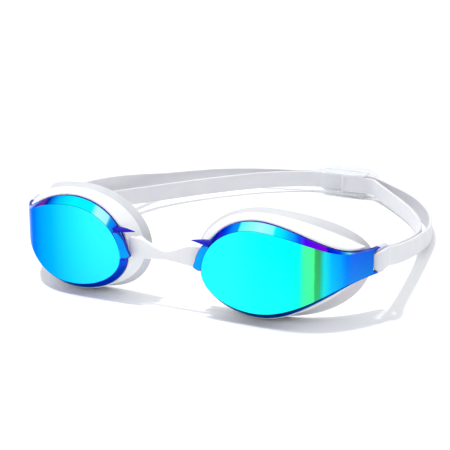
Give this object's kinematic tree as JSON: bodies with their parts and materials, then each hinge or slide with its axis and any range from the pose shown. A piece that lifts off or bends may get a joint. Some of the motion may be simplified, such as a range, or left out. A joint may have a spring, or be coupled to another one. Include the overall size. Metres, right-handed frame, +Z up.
{
  "type": "swim goggles",
  "caption": "Racing swim goggles: wrap-round mirrored lenses with white frames and soft seals, a waisted nose bridge and a doubled flat strap through a clear rear clip",
  "frame": {"origin": "centre of the bounding box, on the floor that the seals and the clip rest on; the mirror plane of the two eyepieces is x = 0", "axes": "goggles face -Y, +Z up, +X is the wearer's left"},
  "size_m": [0.1564, 0.1794, 0.0415],
  "materials": {
    "mirror_lens": "blue to cyan mirror coating on polycarbonate",
    "frame_white": "smooth satin white",
    "seal_white": "soft translucent white silicone",
    "bridge_white": "soft white silicone",
    "strap_silicone": "smooth white silicone",
    "clip_clear": "clear polycarbonate"
  },
  "bodies": {
    "bridge": {"nose_bridge": "bridge_white"},
    "left_eyepiece": {"lens_left": "mirror_lens", "frame_left": "frame_white", "seal_left": "seal_white"},
    "right_eyepiece": {"lens_right": "mirror_lens", "frame_right": "frame_white", "seal_right": "seal_white"},
    "left_strap": {"strap_left": "strap_silicone"},
    "right_strap": {"strap_right": "strap_silicone"},
    "clip": {"strap_clip": "clip_clear"}
  },
  "joints": [
    {"name": "left_bridge_flex", "type": "hinge", "parent": "bridge", "child": "left_eyepiece", "pos_m": [0.0122, -0.08292, 0.0216], "axis": [0, 0, 1], "range_deg": [-6, 6], "stiffness_Nm_per_rad": 0.05},
    {"name": "right_bridge_flex", "type": "hinge", "parent": "bridge", "child": "right_eyepiece", "pos_m": [-0.0122, -0.08292, 0.0216], "axis": [0, 0, 1], "range_deg": [-6, 6], "stiffness_Nm_per_rad": 0.05},
    {"name": "left_strap_swivel", "type": "hinge", "parent": "left_eyepiece", "child": "left_strap", "pos_m": [0.07447, -0.06014, 0.0218], "axis": [0, 0, 1], "range_deg": [-6, 6]},
    {"name": "right_strap_swivel", "type": "hinge", "parent": "right_eyepiece", "child": "right_strap", "pos_m": [-0.07447, -0.06014, 0.0218], "axis": [0, 0, 1], "range_deg": [-6, 6]},
    {"name": "clip_slide", "type": "slide", "parent": "left_strap", "child": "clip", "axis": [1, 0, 0], "range_m": [-0.003, 0.003]}
  ],
  "couplings": [
    {"joint": "right_bridge_flex", "follows": "left_bridge_flex", "ratio": -1},
    {"joint": "left_strap_swivel", "follows": "left_bridge_flex", "ratio": -1},
    {"joint": "right_strap_swivel", "follows": "left_bridge_flex", "ratio": 1}
  ]
}
